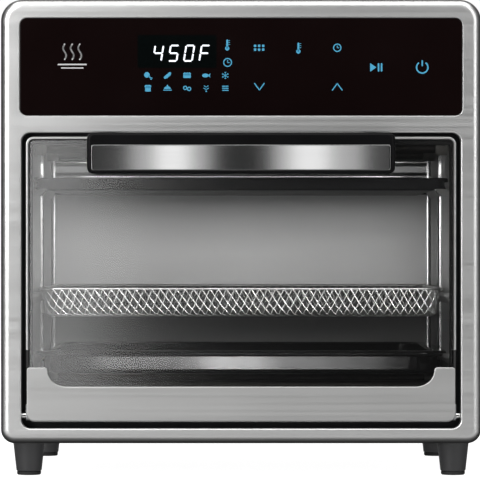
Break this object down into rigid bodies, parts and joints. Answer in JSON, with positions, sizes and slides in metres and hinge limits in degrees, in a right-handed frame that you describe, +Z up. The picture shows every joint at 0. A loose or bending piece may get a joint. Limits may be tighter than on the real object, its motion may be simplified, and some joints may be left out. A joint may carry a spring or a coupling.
{
  "type": "toaster oven",
  "caption": "Convection toaster oven with a drop-down glass door, touch panel, bar handle, baking tray, wire fry basket and drip tray.",
  "frame": {"origin": "on the table, under the middle of the oven's bounding box", "axes": "-Y is the front with the door, +X is to the right of somebody facing the door, +Z is up"},
  "size_m": [0.38, 0.374, 0.378],
  "materials": {
    "brushed_steel": "brushed",
    "cover_steel": "satin",
    "galvanised": "galvanised",
    "polished_steel": "polished",
    "handle_steel": "fine satin",
    "tray_steel": "bright",
    "liner": "satin",
    "enamel": "baked enamel",
    "wire": "bright wire",
    "heater_steel": "heat-tinted",
    "iron": "lacquered",
    "glass": "clear tempered",
    "panel_glass": "gloss",
    "black_plastic": "fine grain",
    "foot_plastic": "satin",
    "rubber": "matte",
    "silicone": "matte",
    "circuit": "solder mask"
  },
  "bodies": {
    "cabinet": {"front_fascia": "brushed_steel", "outer_cover": "cover_steel", "base_plate": "galvanised", "rear_panel": "galvanised", "cord_gland": "black_plastic", "rear_spacer_left": "black_plastic", "rear_spacer_right": "black_plastic", "foot_front_left": "foot_plastic", "foot_front_right": "foot_plastic", "foot_rear_left": "foot_plastic", "foot_rear_right": "foot_plastic", "foot_pad_front_left": "rubber", "foot_pad_front_right": "rubber", "foot_pad_rear_left": "rubber", "foot_pad_rear_right": "rubber", "cavity_left_wall": "liner", "cavity_right_wall": "liner", "cavity_back_wall": "liner", "cavity_ceiling": "liner", "cavity_floor": "liner", "cavity_front_flange": "enamel", "temperature_probe": "heater_steel", "heater_upper_front": "heater_steel", "heater_upper_rear": "heater_steel", "heater_lower_front": "heater_steel", "heater_lower_rear": "heater_steel", "fan_guard": "liner", "fan_housing": "galvanised", "fan_motor": "iron", "control_glass": "panel_glass", "panel_carrier": "black_plastic", "display_module": "black_plastic", "control_board": "circuit", "power_board": "circuit", "transformer": "iron", "hinge_pin_left": "polished_steel", "hinge_pin_right": "polished_steel", "door_spring_left": "polished_steel", "door_spring_right": "polished_steel"},
    "door": {"door_frame": "brushed_steel", "door_glass": "glass", "door_gasket": "silicone", "door_lower_panel": "brushed_steel", "handle_bar": "black_plastic", "handle_plate": "handle_steel", "handle_standoff_left": "black_plastic", "handle_standoff_right": "black_plastic", "handle_screw_left": "polished_steel", "handle_screw_right": "polished_steel", "door_hinge_block_left": "galvanised", "door_hinge_block_right": "galvanised"},
    "fan": {"fan_impeller": "galvanised", "cooling_fan": "galvanised", "fan_shaft": "polished_steel"},
    "baking_tray": {"upper_tray": "enamel"},
    "basket": {"fry_basket": "wire"},
    "drip_pan": {"drip_tray": "tray_steel"},
    "crumb_pan": {"crumb_tray": "galvanised"}
  },
  "joints": [
    {"name": "door_hinge", "type": "hinge", "parent": "cabinet", "child": "door", "pos_m": [0, -0.143, 0.0486], "axis": [1, 0, 0], "range_deg": [0, 90], "stiffness_Nm_per_rad": 0.4, "springref_deg": -45.84},
    {"name": "fan_spin", "type": "hinge", "parent": "cabinet", "child": "fan", "pos_m": [0, 0.007, 0.286], "axis": [0, 0, 1], "continuous": true},
    {"name": "baking_tray_slide", "type": "slide", "parent": "cabinet", "child": "baking_tray", "axis": [0, -1, 0], "range_m": [0, 0.19]},
    {"name": "basket_slide", "type": "slide", "parent": "cabinet", "child": "basket", "axis": [0, -1, 0], "range_m": [0, 0.14]},
    {"name": "drip_tray_slide", "type": "slide", "parent": "cabinet", "child": "drip_pan", "axis": [0, -1, 0], "range_m": [0, 0.065]},
    {"name": "crumb_tray_slide", "type": "slide", "parent": "cabinet", "child": "crumb_pan", "axis": [0, -1, 0], "range_m": [0, 0.014]}
  ],
  "couplings": [
    {"joint": "baking_tray_slide", "follows": "door_hinge", "m_per_rad": 0.1209},
    {"joint": "basket_slide", "follows": "door_hinge", "m_per_rad": 0.089},
    {"joint": "drip_tray_slide", "follows": "door_hinge", "m_per_rad": 0.0413},
    {"joint": "crumb_tray_slide", "follows": "door_hinge", "m_per_rad": 0.0089}
  ]
}
